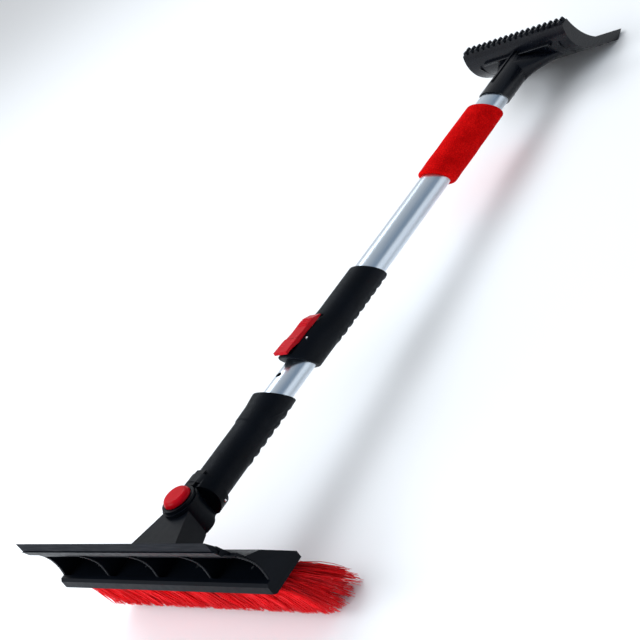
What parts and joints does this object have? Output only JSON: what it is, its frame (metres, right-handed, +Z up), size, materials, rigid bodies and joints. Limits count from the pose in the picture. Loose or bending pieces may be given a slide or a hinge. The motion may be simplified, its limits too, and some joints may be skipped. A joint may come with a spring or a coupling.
{
  "type": "windshield snow brush and ice scraper",
  "caption": "Telescoping snow brush with a pivoting brush and squeegee head, foam grip, lever lock and a toothed ice scraper.",
  "frame": {"origin": "centre of the bounding box's floor footprint, on the surface the tool rests on", "axes": "+X along the shaft from the brush to the scraper, +Y along the brush head, +Z up with the tool lying on its bristle tips and scraper edge"},
  "size_m": [0.8905, 0.283, 0.1408],
  "materials": {
    "black_plastic": "satin moulded",
    "black_gloss": "semi-gloss moulded",
    "grip_black": "fine matte texture",
    "red_plastic": "gloss moulded",
    "red_insert": "gloss moulded",
    "aluminium": "satin anodised",
    "steel": "plain",
    "foam": "closed-cell foam, matte",
    "bristle": "split polymer filament",
    "rubber": "smooth",
    "nylon": "plain"
  },
  "bodies": {
    "handle": {"inner_tube": "aluminium", "tube_guide": "nylon", "lower_grip": "grip_black", "housing_upper": "black_plastic", "housing_lower": "black_plastic", "housing_screws": "steel", "pivot_bolt": "steel", "button_spring": "steel"},
    "brush_head": {"head_shell": "black_plastic", "squeegee": "rubber", "bristle_block": "black_plastic", "block_screws": "steel", "bristles": "bristle"},
    "button": {"release_button": "red_plastic", "lock_plug": "nylon"},
    "scraper_end": {"outer_tube": "aluminium", "lock_grip": "grip_black", "lever_pin": "steel", "lever_spring": "steel", "foam_sleeve": "foam", "scraper_head": "black_gloss", "blade_insert": "red_insert", "socket_screw": "steel"},
    "lever": {"lock_lever": "red_plastic", "lock_pin": "steel"}
  },
  "joints": [
    {"name": "telescope", "type": "slide", "parent": "handle", "child": "scraper_end", "axis": [0.9988, 0, -0.0495], "range_m": [-0.025, 0.275]},
    {"name": "head_pivot", "type": "hinge", "parent": "handle", "child": "brush_head", "pos_m": [-0.36705, 0, 0.08569], "axis": [0.0495, 0, 0.9988], "range_deg": [-90, 90]},
    {"name": "button_press", "type": "slide", "parent": "handle", "child": "button", "axis": [-0.0495, 0, -0.9988], "range_m": [0, 0.003], "stiffness_N_per_m": 600, "springref_m": -0.004, "deforming": ["button_spring"]},
    {"name": "lever_tilt", "type": "hinge", "parent": "scraper_end", "child": "lever", "pos_m": [-0.15646, 0, 0.09248], "axis": [0, 1, 0], "range_deg": [0, 6.5], "stiffness_Nm_per_rad": 0.6, "springref_deg": -8.59, "deforming": ["lever_spring"]}
  ]
}
